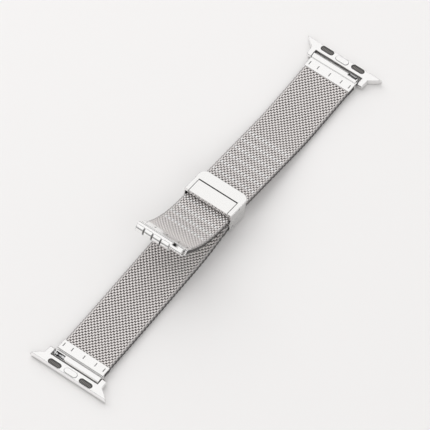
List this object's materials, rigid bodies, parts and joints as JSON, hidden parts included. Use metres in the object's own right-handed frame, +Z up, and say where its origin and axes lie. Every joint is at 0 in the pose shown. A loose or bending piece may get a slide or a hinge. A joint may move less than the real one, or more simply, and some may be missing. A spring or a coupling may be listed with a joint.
{
  "type": "milanese mesh watch band",
  "caption": "Woven steel watch band in two pieces, with a sliding clasp that locks by a flap, a curled tail and a flared watch connector at each end.",
  "frame": {"origin": "under the middle of the opened band, on the surface that it lies on", "axes": "+X across the band, +Y along it towards lug a, +Z up, out of the band's skin side"},
  "size_m": [0.0352, 0.1758, 0.0263],
  "materials": {
    "mesh": "woven bright wire",
    "polished": "mirror polished",
    "pad": "matt, ribbed",
    "spring_wire": "drawn wire",
    "pin_steel": "turned"
  },
  "bodies": {
    "sliding_stretch_a": {"strap_a_sliding_stretch": "mesh"},
    "tail": {"strap_a_tail": "mesh", "tail_end_clamp": "polished", "tail_stop_clip": "polished"},
    "sloping_stretch_a": {"strap_a_sloping_stretch": "mesh"},
    "flat_stretch_a": {"strap_a_flat_stretch": "mesh"},
    "clasp": {"clasp_frame": "polished", "clasp_base": "polished", "flap_pin": "pin_steel", "strap_b_pin": "pin_steel"},
    "flap": {"clasp_flap": "polished"},
    "near_stretch_b": {"strap_b_clasp_tube": "polished", "strap_b_near_stretch": "mesh"},
    "middle_stretch_b": {"strap_b_middle_stretch": "mesh"},
    "flat_stretch_b": {"strap_b_flat_stretch": "mesh"},
    "end_a": {"strap_a_end_stretch": "mesh", "strap_a_end_clamp": "polished", "spring_bar_a_barrel": "pin_steel", "spring_bar_a_spring": "spring_wire"},
    "plunger_a": {"spring_bar_a_plunger": "pin_steel"},
    "lug_a": {"lug_a_body": "polished", "lug_a_pad_left": "pad", "lug_a_pad_right": "pad", "lug_a_latch_cover": "polished", "lug_a_latch_spring": "spring_wire"},
    "latch_a": {"lug_a_latch_button": "polished"},
    "end_b": {"strap_b_end_stretch": "mesh", "strap_b_end_clamp": "polished", "spring_bar_b_barrel": "pin_steel", "spring_bar_b_spring": "spring_wire"},
    "plunger_b": {"spring_bar_b_plunger": "pin_steel"},
    "lug_b": {"lug_b_body": "polished", "lug_b_pad_left": "pad", "lug_b_pad_right": "pad", "lug_b_latch_cover": "polished", "lug_b_latch_spring": "spring_wire"},
    "latch_b": {"lug_b_latch_button": "polished"}
  },
  "joints": [
    {"name": "tail_bend", "type": "hinge", "parent": "sliding_stretch_a", "child": "tail", "pos_m": [0, -0.00444, 0.00855], "axis": [-1, 0, 0], "range_deg": [-30, 20]},
    {"name": "bend_a_slope", "type": "hinge", "parent": "sliding_stretch_a", "child": "sloping_stretch_a", "pos_m": [0, 0.02704, 0.00413], "axis": [1, 0, 0], "range_deg": [-10, 30]},
    {"name": "bend_a_kink", "type": "hinge", "parent": "sloping_stretch_a", "child": "flat_stretch_a", "pos_m": [0, 0.0486, 0.0011], "axis": [1, 0, 0], "range_deg": [-10, 30]},
    {"name": "bend_a_end", "type": "hinge", "parent": "flat_stretch_a", "child": "end_a", "pos_m": [0, 0.062, 0.0011], "axis": [1, 0, 0], "range_deg": [-10, 30]},
    {"name": "clasp_slide", "type": "slide", "parent": "sliding_stretch_a", "child": "clasp", "axis": [0, -0.9903, 0.1392], "range_m": [-0.01362, 0]},
    {"name": "flap_hinge", "type": "hinge", "parent": "clasp", "child": "flap", "pos_m": [0, 0.00442, 0.01069], "axis": [-1, 0, 0], "range_deg": [0, 110]},
    {"name": "strap_b_hinge", "type": "hinge", "parent": "clasp", "child": "near_stretch_b", "pos_m": [0, -0.00009, 0.00446], "axis": [-1, 0, 0], "range_deg": [-25, 8]},
    {"name": "bend_b_near", "type": "hinge", "parent": "near_stretch_b", "child": "middle_stretch_b", "pos_m": [0, -0.0155, 0.0011], "axis": [-1, 0, 0], "range_deg": [-10, 30]},
    {"name": "bend_b_middle", "type": "hinge", "parent": "middle_stretch_b", "child": "flat_stretch_b", "pos_m": [0, -0.03599, 0.0011], "axis": [-1, 0, 0], "range_deg": [-10, 30]},
    {"name": "bend_b_end", "type": "hinge", "parent": "flat_stretch_b", "child": "end_b", "pos_m": [0, -0.05701, 0.0011], "axis": [-1, 0, 0], "range_deg": [-10, 30]},
    {"name": "lug_a_hinge", "type": "hinge", "parent": "end_a", "child": "lug_a", "pos_m": [0, 0.0818, 0.0016], "axis": [1, 0, 0], "range_deg": [-60, 70]},
    {"name": "spring_bar_a_release", "type": "slide", "parent": "end_a", "child": "plunger_a", "axis": [-1, 0, 0], "range_m": [0, 0.0014], "stiffness_N_per_m": 400, "springref_m": -0.0008, "deforming": ["spring_bar_a_spring"]},
    {"name": "latch_a_press", "type": "slide", "parent": "lug_a", "child": "latch_a", "axis": [0, 0, -1], "range_m": [0, 0.0006], "stiffness_N_per_m": 500, "springref_m": -0.0005, "deforming": ["lug_a_latch_spring"]},
    {"name": "lug_b_hinge", "type": "hinge", "parent": "end_b", "child": "lug_b", "pos_m": [0, -0.0818, 0.0016], "axis": [-1, 0, 0], "range_deg": [-60, 70]},
    {"name": "spring_bar_b_release", "type": "slide", "parent": "end_b", "child": "plunger_b", "axis": [1, 0, 0], "range_m": [0, 0.0014], "stiffness_N_per_m": 400, "springref_m": -0.0008, "deforming": ["spring_bar_b_spring"]},
    {"name": "latch_b_press", "type": "slide", "parent": "lug_b", "child": "latch_b", "axis": [0, 0, -1], "range_m": [0, 0.0006], "stiffness_N_per_m": 500, "springref_m": -0.0005, "deforming": ["lug_b_latch_spring"]}
  ]
}
